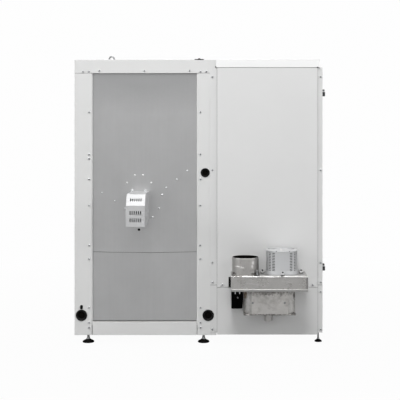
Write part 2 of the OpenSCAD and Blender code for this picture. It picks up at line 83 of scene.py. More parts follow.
# ---- Studio ----
# A plain pale floor, an even pale world and soft lamps: the main one hangs
# over the rear side and a little to the left, so shadows fall down the wall.
bpy.context.scene.view_settings.view_transform = "Standard"
backdrop = (0.99, 0.99, 0.99, 1)
world_light = 0.26
backdrop_glint = 0.8
floor_grey = (0.50, 0.50, 0.50, 1)
floor_half = 14
floor_near, floor_far = 0.6, 3.0
floor_glow = (0.975, 1.0)


def put(tree, kind, sockets=None, **settings):
    """Adds a node with its settings; each socket gets a value, or the output or node that feeds it."""
    node = tree.nodes.new(kind)
    for name, value in settings.items():
        setattr(node, name, value)
    for name, value in (sockets or {}).items():
        if isinstance(value, bpy.types.Node):
            value = value.outputs[0]
        if isinstance(value, bpy.types.NodeSocket):
            tree.links.new(value, node.inputs[name])
        else:
            node.inputs[name].default_value = value
    return node


def math_node(tree, operation, *terms):
    """Math node whose terms are numbers or what feeds them."""
    return put(tree, "ShaderNodeMath", dict(enumerate(terms)), operation=operation).outputs[0]


def ranged(tree, value, from_low, from_high, to_low=0.0, to_high=1.0):
    """Value carried over from one range to another."""
    values = {"Value": value, "From Min": from_low, "From Max": from_high, "To Min": to_low,
              "To Max": to_high}
    return put(tree, "ShaderNodeMapRange", values).outputs[0]


def shader_tree(owner):
    """Empties a material's or world's node tree and returns it."""
    owner.use_nodes = True
    owner.node_tree.nodes.clear()
    return owner.node_tree


world = bpy.data.worlds.new("studio_world")
bpy.context.scene.world = world
tree = shader_tree(world)
light = put(tree, "ShaderNodeBackground", {"Color": (1, 1, 1, 1), "Strength": world_light})
shown = put(tree, "ShaderNodeBackground", {"Color": backdrop, "Strength": 1.0})
rays = put(tree, "ShaderNodeLightPath").outputs
gloss = math_node(tree, "MAXIMUM", rays["Is Glossy Ray"], rays["Is Transmission Ray"])
seen = math_node(tree, "MAXIMUM", math_node(tree, "MULTIPLY", gloss, backdrop_glint), rays["Is Camera Ray"])
blend = put(tree, "ShaderNodeMixShader", {0: seen, 1: light, 2: shown})
put(tree, "ShaderNodeOutputWorld", {"Surface": blend})

floor_mesh = bpy.data.meshes.new("studio_floor")
floor_mesh.from_pydata([(-floor_half, -floor_half, 0), (floor_half, -floor_half, 0),
                        (floor_half, floor_half, 0), (-floor_half, floor_half, 0)],
                       [], [(0, 1, 2, 3)])
floor = linked("studio_floor", floor_mesh)
floor_paint = bpy.data.materials.new("studio_floor")
tree = shader_tree(floor_paint)
matt = put(tree, "ShaderNodeBsdfDiffuse", {"Color": floor_grey})
glow = put(tree, "ShaderNodeEmission", {"Color": backdrop})
middle = put(tree, "ShaderNodeTexCoord").outputs["Object"]
reach = put(tree, "ShaderNodeVectorMath", {0: middle}, operation="LENGTH")
even = ranged(tree, reach.outputs["Value"], floor_near, floor_far, *floor_glow)
share = math_node(tree, "MULTIPLY", put(tree, "ShaderNodeLightPath").outputs["Is Camera Ray"], even)
blend = put(tree, "ShaderNodeMixShader", {0: share, 1: matt, 2: glow})
put(tree, "ShaderNodeOutputMaterial", {"Surface": blend})
floor_mesh.materials.append(floor_paint)


def lamp(name, at, aim, size, watts, glints=True):
    """Square soft lamp at a point, turned towards another."""
    data = bpy.data.lights.new(name, "AREA")
    data.shape = "SQUARE"
    data.size = size
    data.energy = watts
    obj = linked(name, data)
    obj.location = at
    obj.rotation_euler = (Vector(aim) - Vector(at)).to_track_quat("-Z", "Y").to_euler()
    obj.visible_glossy = glints


lamp("overhead_rear", (-0.1, -3.3, 5.2), (0, -0.2, 0.6), 1.6, 184)
lamp("rear_fill", (-0.6, -6.0, 2.6), (0, 0, 0.5), 3.0, 46, glints=False)
lamp("side_left", (-4.2, -2.2, 2.4), (0, 0, 0.8), 2.4, 60)
lamp("side_right", (4.2, -2.2, 2.4), (0, 0, 0.8), 2.4, 54)
lamp("overhead_front", (0, 3.2, 4.0), (0, 0.2, 0.6), 3.0, 90)

# ---- Hopper frame ----
# The hopper cabinet hangs on four posts and four rails, folded from 2 mm steel,
# welded at the corners and powder coated in a pale grey with a fine orange peel.
frame_colour = (0.640, 0.642, 0.638, 1)
dust_colour = (0.48, 0.46, 0.43, 1)
fold_radius = 0.0012
fold_angle = math.radians(28)
flat_angle = math.radians(0.5)
weld_dist = 1e-5


def add_socket(tree, label, side, kind=None):
    """Named socket of a node group; its label gives the kind where none is named."""
    kinds = {"Colour": "Color", "Film": "Color", "Stain": "Color", "Vector": "Vector", "Centre": "Vector",
             "Reach": "Vector", "Stretch": "Vector", "Normal": "Vector"}
    kind = "NodeSocket" + (kind or kinds.get(label, "Float"))
    tree.interface.new_socket(name=label, in_out=side, socket_type=kind)


def shader_group(name, *inputs):
    """Shader node group with named inputs; gives its tree and the inputs."""
    tree = bpy.data.node_groups.new(name, "ShaderNodeTree")
    for label in inputs:
        add_socket(tree, label, "INPUT")
    return tree, tree.nodes.new("NodeGroupInput").outputs


def closed(tree, **results):
    """Gives a shader group its named outputs and what feeds them."""
    for label in results:
        add_socket(tree, label, "OUTPUT")
    put(tree, "NodeGroupOutput", results)
    return tree


def vector_node(tree, operation, *terms):
    """Vector math node whose terms are vectors or what feeds them."""
    return put(tree, "ShaderNodeVectorMath", dict(enumerate(terms)), operation=operation)


def tinted(tree, colour, gain):
    """Colour made lighter or darker by a gain that changes over the surface."""
    return put(tree, "ShaderNodeVectorMath", {0: colour, "Scale": gain}, operation="SCALE").outputs[0]


def swing(tree, value, strength, base=1.0):
    """Base plus a value's swing about one half, times a strength."""
    return math_node(tree, "MULTIPLY_ADD", math_node(tree, "SUBTRACT", value, 0.5), strength, base)


def mixed(tree, factor, tone, tint):
    """Tone that turns to a tint by a factor."""
    return put(tree, "ShaderNodeMix", {"Factor": factor, 6: tone, 7: tint}, data_type="RGBA").outputs[2]


def noise_node(tree, vector, scale, detail, roughness=0.5):
    """Noise texture over a vector, as a value about one half."""
    values = {"Vector": vector, "Scale": scale, "Detail": detail, "Roughness": roughness}
    return put(tree, "ShaderNodeTexNoise", values).outputs["Fac"]


def effect(tree, group, coords, **values):
    """Adds a shared effect over the piece's own coordinates and gives its outputs."""
    return put(tree, "ShaderNodeGroup", {"Vector": coords, **values}, node_tree=group).outputs


# Cloud: soft drifts of tone over a surface, of a given size in metres
tree, given = shader_group("surface_cloud", "Vector", "Colour", "Size", "Strength")
noise = noise_node(tree, given["Vector"], math_node(tree, "DIVIDE", 1.0, given["Size"]), 4.0, 0.6)
gain = swing(tree, noise, math_node(tree, "MULTIPLY", given["Strength"], 4.0))
surface_cloud = closed(tree, Colour=tinted(tree, given["Colour"], gain), Mask=noise)

# Peel: the fine dimples of powder coat, rubber or moulded plastic
tree, given = shader_group("fine_peel", "Vector", "Pitch", "Depth")
noise = noise_node(tree, given["Vector"], math_node(tree, "DIVIDE", 1.0, given["Pitch"]), 2.0, 0.6)
bump = put(tree, "ShaderNodeBump", {"Strength": 0.6, "Height": noise, "Distance": given["Depth"]})
fine_peel = closed(tree, Normal=bump)

# Dust: a thin film that settles on faces that look up, thicker in patches
tree, given = shader_group("settled_dust", "Vector", "Colour", "Film", "Amount")
normal = put(tree, "ShaderNodeNewGeometry").outputs["True Normal"]
up = put(tree, "ShaderNodeSeparateXYZ", {0: normal}).outputs["Z"]
flat = ranged(tree, up, 0.5, 1.0)
noise = noise_node(tree, given["Vector"], 26.0, 5.0, 0.65)
mask = math_node(tree, "MULTIPLY", math_node(tree, "MULTIPLY", flat, noise), given["Amount"])
settled_dust = closed(tree, Colour=mixed(tree, mask, given["Colour"], given["Film"]))


def new_finish(name, colour, values):
    """New material: the material, its tree, the piece's own coordinates and its surface."""
    material = bpy.data.materials.new(name)
    material.diffuse_color = colour
    tree = shader_tree(material)
    coords = put(tree, "ShaderNodeTexCoord").outputs["Object"]
    surface = put(tree, "ShaderNodeBsdfPrincipled", {"Base Color": colour, **values})
    put(tree, "ShaderNodeOutputMaterial", {"Surface": surface})
    return material, tree, coords, surface


def dress(tree, surface, gloss, tone, mask, normal):
    """Feeds a surface its tone and normal, and a roughness that runs over its gloss with a mask."""
    tree.links.new(tone, surface.inputs["Base Color"])
    if normal:
        tree.links.new(normal, surface.inputs["Normal"])
    tree.links.new(ranged(tree, mask, 0.3, 0.7, *gloss), surface.inputs["Roughness"])


def plain_finish(name, colour, gloss, values, drift, peel=None, dust=0.0):
    """Finish of one colour: drift and peel are a size in metres and a strength or depth."""
    material, tree, coords, surface = new_finish(name, colour, values)
    cloud = effect(tree, surface_cloud, coords, Colour=colour, Size=drift[0], Strength=drift[1])
    tone, normal = cloud["Colour"], None
    if dust:
        tone = effect(tree, settled_dust, coords, Colour=tone, Film=dust_colour, Amount=dust)["Colour"]
    if peel:
        normal = effect(tree, fine_peel, coords, Pitch=peel[0], Depth=peel[1])["Normal"]
    dress(tree, surface, gloss, tone, cloud["Mask"], normal)
    return material


def powder_coat(name, colour, gloss=(0.36, 0.46), drift=0.012):
    """Satin powder coat with orange peel, a slight drift of tone and dust on top."""
    return plain_finish(name, colour, gloss, {"Specular IOR Level": 0.45}, (0.3, drift), (0.0022, 0.00005),
                        dust=0.25)


def keep(obj, slot, *nodes):
    """Sets a finished piece on the machine, in the place of the nodes it stands for."""
    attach(obj, "root")
    if nodes:
        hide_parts(*nodes)


def settled(name, obj):
    """Plain mesh object of what a piece's modifiers make; the piece itself goes."""
    view = bpy.context.evaluated_depsgraph_get()
    mesh = bpy.data.meshes.new_from_object(obj.evaluated_get(view))
    bpy.data.objects.remove(obj)
    mesh.name = name
    return linked(name, mesh)


def formed(name, shape, finish, smooth=True):
    """Object of a finished shape in its material, smooth all over unless told."""
    for face in shape.faces:
        face.smooth = smooth
    mesh = bpy.data.meshes.new(name)
    shape.to_mesh(mesh)
    shape.free()
    if finish:
        mesh.materials.append(finish)
    return linked(name, mesh)


def even_faces(obj):
    """Shades flat faces flat, and blends only round the rounded edges."""
    even = obj.modifiers.new("even_faces", "WEIGHTED_NORMAL")
    even.weight = 100
    even.keep_sharp = True


def folded(node, finish, slot, radius=fold_radius, segments=2, shortest=0.006, bent=None):
    """Sheet-metal piece with rounded folds, in the place of the CAD node and inside
    its box, unless bent moves its points."""
    shape = bmesh.new()
    shape.from_mesh(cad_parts[node].data)
    bmesh.ops.remove_doubles(shape, verts=shape.verts, dist=weld_dist)
    bmesh.ops.dissolve_limit(shape, angle_limit=flat_angle, verts=shape.verts, edges=shape.edges)
    if bent:
        bent(shape)
    weight = shape.edges.layers.float.new("bevel_weight_edge")
    for edge in shape.edges:
        edge.smooth = True
        if len(edge.link_faces) == 2 and edge.calc_face_angle() > fold_angle:
            if edge.calc_length() > shortest:
                edge[weight] = 1.0
            else:
                edge.smooth = False
    blank = formed(node + "_blank", shape, finish)
    bevel = blank.modifiers.new("folds", "BEVEL")
    bevel.width = radius
    bevel.segments = segments
    bevel.limit_method = "WEIGHT"
    even_faces(blank)
    sheet = settled(node + "_sheet", blank)
    if not bent:
        low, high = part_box(node)
        for vert in sheet.data.vertices:
            vert.co = [min(max(at, least), most) for at, least, most in zip(vert.co, low, high)]
    keep(sheet, slot, node)


frame_coat = powder_coat("frame_coat", frame_colour)
for part in ("post_rear_left", "post_rear_right", "post_front_left", "post_front_right",
             "top_rail_rear", "top_rail_front", "bottom_rail_rear", "bottom_rail_front",
             "side_panel", "top_plate"):
    folded("hopper_" + part, frame_coat, "frame_paint")

# ---- Hopper walls ----
# The hopper's rear wall is bare galvanised sheet in two pieces, the upper one
# lapped over the lower; it is dull, with a faint spangle and rolling streaks.
galvanised_colour = (0.505, 0.507, 0.510, 1)
painted_top_shade = (0.37, 0.372, 0.376, 1)
lap_sag = 0.004
lap_cuts = 8
lap_near = 0.0005

# Spangle: the crystal patches of hot-dip zinc, and streaks along the rolled sheet
tree, given = shader_group("zinc_spangle", "Vector", "Colour", "Cell", "Strength", "Streak")
scale = math_node(tree, "DIVIDE", 1.0, given["Cell"])
cells = put(tree, "ShaderNodeTexVoronoi", {"Vector": given["Vector"], "Scale": scale, "Randomness": 1.0})
facet = put(tree, "ShaderNodeSeparateColor", {0: cells.outputs["Color"]}).outputs[0]
stretch = put(tree, "ShaderNodeMapping", {"Vector": given["Vector"], "Scale": (90.0, 90.0, 2.2)})
lines = noise_node(tree, stretch, 1.0, 3.0)
shade = swing(tree, lines, given["Streak"], swing(tree, facet, given["Strength"]))
mask = math_node(tree, "MULTIPLY_ADD", facet, 0.5, math_node(tree, "MULTIPLY", lines, 0.5))
zinc_spangle = closed(tree, Colour=tinted(tree, given["Colour"], shade), Mask=mask)

# Mark: one soft-edged mark at a place on a piece, with a broken outline; it lays real scratches and stains,
# and painted highlights and shade
tree, given = shader_group("mark_of_wear_and_light", "Vector", "Centre", "Reach", "Ragged")
away = vector_node(tree, "SUBTRACT", given["Vector"], given["Centre"])
away = vector_node(tree, "LENGTH", vector_node(tree, "DIVIDE", away, given["Reach"])).outputs["Value"]
noise = noise_node(tree, given["Vector"], 90.0, 4.0)
away = swing(tree, noise, math_node(tree, "MULTIPLY", given["Ragged"], 4.0), away)
mark_of_wear_and_light = closed(tree, Mask=ranged(tree, away, 1.1, 0.4))


def marked(tree, coords, tone, marks, ragged=0.5):
    """Lays single marks on a colour: where each is and how far it reaches along x, y and z,
    in mm as in place(), its colour, and how much it covers."""
    for x, y, z, along, across, tall, tint, share in marks:
        mark = effect(tree, mark_of_wear_and_light, coords, Centre=place(x, y, z), Ragged=ragged,
                      Reach=(along / 1000, across / 1000, tall / 1000))
        tone = mixed(tree, math_node(tree, "MULTIPLY", mark["Mask"], share), tone, tint)
    return tone


def galvanised(name, colour, cell, spangle, metallic, gloss=(0.42, 0.50), drift=0.01, dimple=0.00001,
               marks=()):
    """Galvanised sheet: crystal patches, rolling streaks, a drift of tone and a dull gloss."""
    material, tree, coords, surface = new_finish(name, colour, {"Metallic": metallic})
    cloud = effect(tree, surface_cloud, coords, Colour=colour, Size=0.12, Strength=drift)
    zinc = effect(tree, zinc_spangle, coords, Colour=cloud["Colour"], Cell=cell, Strength=spangle,
                  Streak=0.06)
    peel = effect(tree, fine_peel, coords, Pitch=0.004, Depth=dimple)
    tone = marked(tree, coords, zinc["Colour"], marks, 0.05)
    dress(tree, surface, gloss, tone, zinc["Mask"], peel["Normal"])
    return material


# The wall's top is darkened by a painted shade: one broad dark mark over its upper part.
wall_zinc = galvanised("wall_zinc", galvanised_colour, 0.03, 0.010, 1.0, gloss=(0.38, 0.40), drift=0.03,
                       dimple=0.0, marks=[(366, 12, 1365, 600, 50, 200, painted_top_shade, 0.7)])
lap_low, lap_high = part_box("hopper_rear_panel_lower")
lap_middle, lap_half = (lap_low.x + lap_high.x) / 2, (lap_high.x - lap_low.x) / 2


def sagged(shape):
    """Lets the lapped edge of a wall sheet hang a little lower in the middle."""
    for step in range(1 - lap_cuts, lap_cuts):
        bmesh.ops.bisect_plane(shape, geom=shape.verts[:] + shape.edges[:] + shape.faces[:],
                               plane_co=(lap_middle + lap_half * step / lap_cuts, 0, 0), plane_no=(1, 0, 0))
    for vert in shape.verts:
        if abs(vert.co.z - lap_high.z) < lap_near:
            vert.co.z -= lap_sag * (1 - ((vert.co.x - lap_middle) / lap_half) ** 2)


for part in ("upper", "lower"):
    folded("hopper_rear_panel_" + part, wall_zinc, "galvanised_sheet", bent=sagged)
folded("hopper_base_plate", wall_zinc, "galvanised_sheet")
folded("hopper_front_panel", frame_coat, "panel_paint")

# ---- Hopper lid, handle and latch ----
# The lid is a shallow folded tray, lifted by a bent rod handle near its rear
# edge and held shut by a black moulded latch.
dark_zinc_colour = (0.27, 0.275, 0.28, 1)
plastic_colour = (0.0015, 0.0015, 0.0016, 1)
foot_r = 7.5
foot_t = 1.6
bow_steps = 8
straight_share = 0.6
rod_share = 0.98
crease_angle = math.radians(32)
latch_plate_share = 0.45
folded("hopper_lid", frame_coat, "frame_paint")


def zinc_plated(name, colour=(0.62, 0.63, 0.64, 1), gloss=(0.24, 0.36)):
    """Bright zinc plate on a small turned or pressed piece, a little clouded."""
    return plain_finish(name, colour, gloss, {"Metallic": 1.0}, (0.006, 0.06))


def black_moulded(name, colour, gloss=(0.42, 0.56), shine=0.03):
    """Black rubber or moulded plastic with a fine skin."""
    return plain_finish(name, colour, gloss, {"Specular IOR Level": shine}, (0.02, 0.08), (0.0008, 0.00004),
                        dust=0.04)


def turned(name, profile, finish, at=(0, 0, 0), axis=(0, 0, 1), segments=48, ring=False, six=()):
    """Turned solid: (radius, height) points in mm about an axis. Rings named in six are hexagons;
    a ring profile is a closed loop clear of the axis."""
    shape = bmesh.new()
    rows = []
    for index, (radius, height) in enumerate(profile):
        if radius <= 0:
            rows.append([shape.verts.new((0, 0, height / 1000))])
            continue
        row = []
        for step in range(segments):
            angle = math.tau * step / segments
            reach = radius / 1000
            if index in six:
                reach *= math.cos(math.pi / 6) / math.cos(angle % (math.pi / 3) - math.pi / 6)
            row.append(shape.verts.new((reach * math.cos(angle), reach * math.sin(angle), height / 1000)))
        rows.append(row)
    for low, high in list(zip(rows, rows[1:])) + ([(rows[-1], rows[0])] if ring else []):
        for step in range(segments):
            after = (step + 1) % segments
            if len(low) == 1:
                shape.faces.new((low[0], high[after], high[step]))
            elif len(high) == 1:
                shape.faces.new((low[step], low[after], high[0]))
            else:
                shape.faces.new((low[step], low[after], high[after], high[step]))
    bmesh.ops.recalc_face_normals(shape, faces=shape.faces)
    turn = Vector((0, 0, 1)).rotation_difference(Vector(axis)).to_matrix().to_4x4()
    bmesh.ops.transform(shape, matrix=Matrix.Translation(at) @ turn, verts=shape.verts)
    for edge in shape.edges:
        edge.smooth = edge.calc_face_angle(0) < crease_angle
    return formed(name, shape, finish)


def joined(name, *objects):
    """One object of several."""
    with bpy.context.temp_override(active_object=objects[0], selected_editable_objects=list(objects)):
        bpy.ops.object.join()
    objects[0].name = name
    return objects[0]


def rod(name, points, radius, finish, steps=12):
    """Round rod along a smooth line of points."""
    line = bpy.data.curves.new(name, "CURVE")
    line.dimensions = "3D"
    line.bevel_depth = radius
    line.bevel_resolution = 4
    line.use_fill_caps = True
    spline = line.splines.new("BEZIER")
    spline.bezier_points.add(len(points) - 1)
    for knot, point in zip(spline.bezier_points, points):
        knot.co = point
        knot.handle_left_type = knot.handle_right_type = "AUTO"
    spline.resolution_u = steps
    piece = settled(name, linked(name + "_line", line))
    piece.data.materials.clear()
    piece.data.materials.append(finish)
    return piece


def add_block(shape, size, middle):
    """Adds a block of a size about a middle to a shape and gives its corners."""
    corners = bmesh.ops.create_cube(shape, size=1.0)["verts"]
    bmesh.ops.scale(shape, vec=size, verts=corners)
    bmesh.ops.translate(shape, vec=middle, verts=corners)
    return corners


def moulded_block(name, low, high, finish, radius, segments=3):
    """Block between two corners with rounded edges."""
    low, high = Vector(low), Vector(high)
    shape = bmesh.new()
    add_block(shape, high - low, (low + high) / 2)
    bmesh.ops.bevel(shape, geom=shape.edges[:], offset=radius, segments=segments, affect="EDGES")
    blank = formed(name + "_blank", shape, finish)
    even_faces(blank)
    return settled(name, blank)


bright_zinc = zinc_plated("bright_zinc")
dark_zinc = zinc_plated("dark_zinc", dark_zinc_colour, (0.28, 0.42))
low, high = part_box("lid_handle")
middle = (low + high) / 2
rod_radius = (high.y - low.y) / 2
reach = (high.x - low.x) / 2 - rod_radius
rise = high.z - low.z - rod_radius - reach
arch = [(-reach, 0), (-reach, rise * straight_share)]
for step in range(bow_steps + 1):
    angle = math.pi * (1 - step / bow_steps)
    arch.append((reach * math.cos(angle), rise + reach * math.sin(angle)))
arch += [(reach, rise * straight_share), (reach, 0)]
bow = rod("lid_handle_rod", [(middle.x + out, middle.y, low.z + up) for out, up in arch],
          rod_radius * rod_share, dark_zinc)
profile = [(0, 0), (foot_r, 0), (foot_r, 1.0), (foot_r - 1, foot_t), (0, foot_t)]
feet = [turned("handle_foot_%d" % side, profile, dark_zinc, (middle.x + side * reach, middle.y, low.z),
               segments=24) for side in (-1, 1)]
keep(joined("lid_handle_bow", bow, *feet), "stainless", "lid_handle")

black_plastic = black_moulded("black_plastic", plastic_colour, shine=0.015)
low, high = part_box("lid_latch")
plate = moulded_block("latch_plate", low, (high.x, high.y, low.z + (high.z - low.z) * latch_plate_share),
                      black_plastic, 0.0012)
hook = moulded_block("latch_hook", place(600, 55.5, 1420), place(645, 60.5, 1426), black_plastic, 0.0012)
catch = moulded_block("latch_catch", place(616, 54.5, 1418.5), place(629, 68, 1430), black_plastic, 0.002)
keep(joined("lid_latch_block", plate, hook, catch), "black_plastic", "lid_latch")

# ---- Lap and joints of the hopper wall ----
# The upper wall sheet hangs over the lower one; a thin dark grey bead along the
# sagging edge of the lap is painted shadow, standing in for the shade under the lap.
bead_r = 0.0008
bead_share = 0.998
bead_out = 0.0004
joint_r = 0.0006
painted_gap_shadow = black_moulded("painted_gap_shadow", (0.14, 0.14, 0.14, 1), gloss=(0.6, 0.7), shine=0.1)
line = []
for step in range(-lap_cuts, lap_cuts + 1):
    share = step / lap_cuts
    line.append((lap_middle + lap_half * share * bead_share, lap_low.y - bead_out,
                 lap_high.z - lap_sag * (1 - share * share) - bead_r))
keep(rod("wall_lap_bead", line, bead_r, painted_gap_shadow, steps=3), "black_rubber")

# Where the rails meet the posts, thin beads of the same dark grey are painted shadow in the joints
joint_lines = [((3, 1351.9), (88, 1351.9)), ((618, 1351.9), (704, 1351.9)),
               ((89.5, 43), (89.5, 92)), ((613, 43), (613, 92))]
joints = [rod("joint_%d" % i, [place(x, -0.1, z) for x, z in ends], joint_r, painted_gap_shadow, steps=1)
          for i, ends in enumerate(joint_lines)]
keep(joined("frame_joint_beads", *joints), "black_rubber")

# ---- Auger drive ----
# The auger's gear motor stands on the hopper wall under a folded sheet cover,
# slotted for cooling on its front, slope, top and sides, and hung on two tabs.
cover_colour = (0.580, 0.583, 0.588, 1)
casting_colour = (0.075, 0.078, 0.082, 1)
rubber_colour = (0.0035, 0.0035, 0.0035, 1)
gland_r = 6.5
gearbox_depth = 0.055
barrel = 26.0
fin_count = 9
folded("motor_cover", galvanised("cover_zinc", cover_colour, 0.004, 0.02, 0.7), "cover_sheet", radius=0.0004)


def cast_metal(name, colour, gloss=(0.45, 0.6), metallic=0.6):
    """Painted or raw casting with a rough skin."""
    return plain_finish(name, colour, gloss, {"Metallic": metallic}, (0.015, 0.10), (0.0012, 0.00012))


motor_casting = cast_metal("motor_casting", casting_colour)
low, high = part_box("auger_motor")
middle = (low + high) / 2
split = high.y - gearbox_depth
half = (high.x - low.x) / 2
gearbox = moulded_block("gearbox", (low.x, split, middle.z - half), (high.x, high.y, middle.z + half),
                        motor_casting, 0.004)
length = (split - low.y) * 1000
profile = [(0, 0), (barrel - 2, 0), (barrel - 1, 1.0)]
for step in range(fin_count):
    start = 14 + step * (length - 34) / fin_count
    profile += [(barrel - 3, start), (barrel, start + 1), (barrel, start + 4), (barrel - 3, start + 5)]
profile += [(barrel - 3, length - 16), (barrel - 1, length - 14), (barrel - 1, length - 3),
            (barrel - 4, length), (8, length), (7, length - 1.5), (0, length - 1.5)]
can = turned("motor_can", profile, motor_casting, (middle.x, split, middle.z), (0, -1, 0), segments=40)
keep(joined("auger_motor_body", gearbox, can), "motor_black", "auger_motor")

# The cable gland under the cover, pressed into the hopper wall
black_rubber = black_moulded("black_rubber", rubber_colour, (0.55, 0.70), shine=0.10)
wall_y = (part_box("hopper_rear_panel_upper")[0].y - rear_face) * 1000
profile = [(0, -1), (gland_r, -1), (gland_r, 1.2), (gland_r - 1.2, 2.4), (3.4, 2.4), (2.6, 1.2), (0, 1.2)]
keep(turned("cover_gland", profile, black_rubber, place(321.5, wall_y, 568), (0, -1, 0), segments=32),
     "black_rubber")

# ---- Boiler cabinet ----
# The boiler's welded body is hidden behind insulated panels of powder coated
# sheet: two on the rear, two on the front and two folded round either side.
panel_colour = (0.640, 0.642, 0.640, 1)
shaded_lower_colour = (0.610, 0.612, 0.610, 1)
lit_lid_colour = (0.800, 0.802, 0.800, 1)
body_colour = (0.10, 0.10, 0.105, 1)
panel_fold = 0.0006
panel_gloss = (0.38, 0.50)
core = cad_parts["boiler_body"]
core.data.materials.clear()
core.data.materials.append(cast_metal("body_steel", body_colour, gloss=(0.5, 0.7), metallic=0.7))

# The lower panels take a darker copy of the panel paint: painted shade.
for level, coat in (("upper", powder_coat("panel_coat", panel_colour, panel_gloss, 0.014)),
                    ("lower", powder_coat("lower_coat_shaded", shaded_lower_colour, panel_gloss, 0.014))):
    for part in ("side_panel_left_", "side_panel_right_", "rear_panel_", "front_panel_"):
        folded("boiler_" + part + level, coat, "panel_paint", radius=panel_fold)
# The lid takes a lighter copy of the panel paint: painted highlight.
folded("boiler_lid", powder_coat("lid_coat_lit", lit_lid_colour, (0.32, 0.42), 0.010), "panel_paint")

# Dark rubber blocks at the two rear corners under the lid, painted shade in the corner gaps; a strip
# between the tops of the two cabinets; and a dark strip in the joint of the left side panels, painted shadow
corner_shades = [moulded_block("lid_buffer", place(*low), place(*high), black_rubber, 0.0008) for low, high in (
    ((703.5, -3, 1379.5), (709, 1, 1385)), ((1211.5, -13.5, 1377.5), (1218.5, -8, 1382.5)))]
keep(joined("lid_buffers", *corner_shades), "black_rubber")
for name, low, high, finish, slot in (
        ("cabinet_joint_strip", (705.8, 0.5, 1386), (708.6, 8, 1417.5), frame_coat, "frame_paint"),
        ("side_joint_strip", (678.5, -1.2, 292.1), (711.5, 0.5, 293.9), painted_gap_shadow, "black_rubber")):
    keep(moulded_block(name, place(*low), place(*high), finish, 0.0003, 1), slot)

# ---- Flue unit ----
# The flue duct is a box folded and welded from 2 mm stainless sheet, bolted
# over a black gasket; handling and soot have left it smudged and streaked.
duct_colour = (0.520, 0.510, 0.497, 1)
collar_colour = (0.385, 0.376, 0.366, 1)
weld_colour = (0.42, 0.41, 0.40, 1)
rim_colour = (0.42, 0.416, 0.408, 1)
lip_highlight_colour = (0.56, 0.555, 0.545, 1)
seam_colour = (0.36, 0.355, 0.348, 1)
stain_colour = (0.14, 0.125, 0.11, 1)
scratch = (0.80, 0.79, 0.78, 1)
painted_highlight = (0.92, 0.91, 0.90, 1)
soot = (0.05, 0.045, 0.04, 1)
lip_start = 0.048
lip_h = 0.007
seam_wide = 0.008

# Grain: fine parallel scratches of brushed or rolled metal, as a mask and a normal
tree, given = shader_group("brushed_grain", "Vector", "Stretch", "Depth")
noise = noise_node(tree, vector_node(tree, "MULTIPLY", given["Vector"], given["Stretch"]), 1.0, 4.0, 0.65)
bump = put(tree, "ShaderNodeBump", {"Strength": 0.5, "Height": noise, "Distance": given["Depth"]})
brushed_grain = closed(tree, Mask=noise, Normal=bump)

# Smudge: patches of soot and handling that dull and darken metal
tree, given = shader_group("soot_smudge", "Vector", "Colour", "Stain", "Size", "Cover", "Amount")
warp = put(tree, "ShaderNodeTexNoise", {"Vector": given["Vector"], "Scale": 9.0, "Detail": 3.0})
bent = vector_node(tree, "MULTIPLY_ADD", warp.outputs["Color"], (0.05, 0.05, 0.05), given["Vector"])
noise = noise_node(tree, bent, math_node(tree, "DIVIDE", 1.0, given["Size"]), 7.0, 0.62)
edge_low = math_node(tree, "SUBTRACT", 0.72, math_node(tree, "MULTIPLY", given["Cover"], 0.4))
patch = ranged(tree, noise, edge_low, math_node(tree, "ADD", edge_low, 0.22))
mask = math_node(tree, "MULTIPLY", patch, given["Amount"])
soot_smudge = closed(tree, Colour=mixed(tree, mask, given["Colour"], given["Stain"]), Mask=patch)


def stainless(name, colour, gloss=(0.24, 0.40), stretch=(6.0, 700.0, 700.0), size=0.05, cover=0.45,
              amount=0.4, drift=0.05, metallic=1.0, marks=()):
    """Stainless sheet with a rolled grain, clouding, patches of soot and handling,
    and single marks."""
    material, tree, coords, surface = new_finish(name, colour, {"Metallic": metallic})
    cloud = effect(tree, surface_cloud, coords, Colour=colour, Size=0.09, Strength=drift)
    grain = effect(tree, brushed_grain, coords, Stretch=stretch, Depth=0.00003)
    tone = tinted(tree, cloud["Colour"], swing(tree, grain["Mask"], 0.22))
    soot = effect(tree, soot_smudge, coords, Colour=tone, Stain=stain_colour, Size=size, Cover=cover,
                  Amount=amount)
    worn = math_node(tree, "MULTIPLY_ADD", soot["Mask"], 0.5, math_node(tree, "MULTIPLY", grain["Mask"], 0.5))
    dress(tree, surface, gloss, marked(tree, coords, soot["Colour"], marks), worn, grain["Normal"])
    return material


def upright(node):
    """Middle of the foot of an upright round node, and its radius and height in mm."""
    low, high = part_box(node)
    return (Vector(((low.x + high.x) / 2, (low.y + high.y) / 2, low.z)),
            (high.x - low.x) * 500, (high.z - low.z) * 1000)


duct_steel = stainless("duct_steel", duct_colour, marks=[
    (x, -185, z, 22, 20, 1.6, scratch, 0.35)
    for x, z in ((868, 330), (893, 325.5), (918, 321), (943, 316.5), (1040, 338), (1062, 334))])
rim_steel = stainless("rim_steel", rim_colour, gloss=(0.32, 0.44), amount=0.35, size=0.02)
# The lip's steel is a lighter copy of the rim's steel: a painted highlight along the duct's top edge.
lip_highlight_steel = stainless("lip_highlight_steel", lip_highlight_colour, gloss=(0.32, 0.44), amount=0.35)
seam_steel = stainless("seam_steel", seam_colour, amount=0.6)
folded("flue_duct", duct_steel, "stainless", radius=0.0016, segments=3)
folded("duct_flange", rim_steel, "stainless", radius=0.0022, segments=3)
folded("flue_gasket", black_rubber, "black_rubber", radius=0.0006)

# The duct's top edge is rolled over to a lip, and a strip closes the seam of its end
low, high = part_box("flue_duct")
keep(moulded_block("duct_lip", (low.x + lip_start, low.y - 0.003, high.z - lip_h),
                   (high.x, low.y + 0.004, high.z + 0.0012), lip_highlight_steel, 0.0028, 4), "stainless")
keep(moulded_block("duct_end_seam", (high.x - seam_wide, low.y - 0.0015, low.z),
                   (high.x + 0.0008, low.y + 0.003, high.z - lip_h), seam_steel, 0.0007, 2), "stainless")

